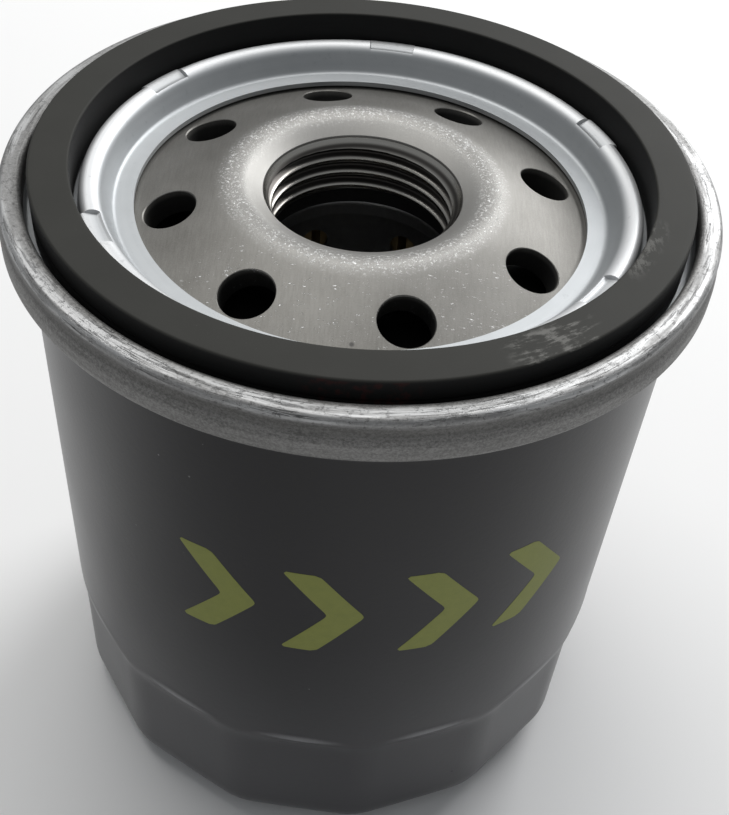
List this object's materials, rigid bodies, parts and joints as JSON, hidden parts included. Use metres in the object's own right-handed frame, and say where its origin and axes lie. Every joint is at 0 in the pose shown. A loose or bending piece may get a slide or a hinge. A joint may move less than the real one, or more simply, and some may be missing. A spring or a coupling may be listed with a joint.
{
  "type": "spin-on oil filter",
  "caption": "Sealed canister oil filter that spins onto a threaded stud: black can with wrench flats, double seam, rubber gasket and a coned base plate with inlet holes.",
  "frame": {"origin": "Centre of the closed end, on the plane that the filter stands on.", "axes": "+Z is the filter's axis and points out of the threaded end. -Y faces the side that carries the printed marks. +X is right-handed from these."},
  "size_m": [0.0686, 0.0686, 0.0735],
  "materials": {
    "can_paint": "satin charcoal baked paint",
    "lid_zinc": "bright zinc plate, satin",
    "plate_steel": "bare pressed steel, fine grain",
    "gasket_rubber": "moulded nitrile, matt",
    "valve_rubber": "moulded nitrile",
    "compound": "seam sealing compound",
    "tinned_steel": "thin tinplate",
    "spring_steel": "oiled spring steel",
    "filter_paper": "resin-treated filter paper",
    "plastisol": "cured end-cap adhesive"
  },
  "bodies": {
    "root": {"can": "can_paint", "seaming_lid": "lid_zinc", "seam_compound": "compound", "base_plate": "plate_steel", "gasket": "gasket_rubber", "drainback_valve_bead": "valve_rubber", "element_spring": "spring_steel"},
    "drainback_skirt": {"drainback_valve_skirt": "valve_rubber"},
    "element": {"element_top_cap": "tinned_steel", "element_bottom_cap": "tinned_steel", "centre_tube": "tinned_steel", "pleated_media": "filter_paper", "pleat_seam_clip": "tinned_steel", "lower_potting": "plastisol", "upper_potting": "plastisol", "bypass_seat_seal": "valve_rubber", "bypass_cage": "tinned_steel", "bypass_spring": "spring_steel"},
    "bypass_valve": {"bypass_disc": "tinned_steel"}
  },
  "joints": [
    {"name": "drainback_lift", "type": "slide", "parent": "root", "child": "drainback_skirt", "axis": [0, 0, -1], "range_m": [0, 0.0008], "stiffness_N_per_m": 1500, "springref_m": -0.0003},
    {"name": "element_float", "type": "slide", "parent": "root", "child": "element", "axis": [0, 0, -1], "range_m": [0, 0.0012], "stiffness_N_per_m": 15000, "springref_m": -0.004, "deforming": ["element_spring"]},
    {"name": "bypass_open", "type": "slide", "parent": "element", "child": "bypass_valve", "axis": [0, 0, 1], "range_m": [0, 0.0025], "stiffness_N_per_m": 2200, "springref_m": -0.005, "deforming": ["bypass_spring"]}
  ]
}
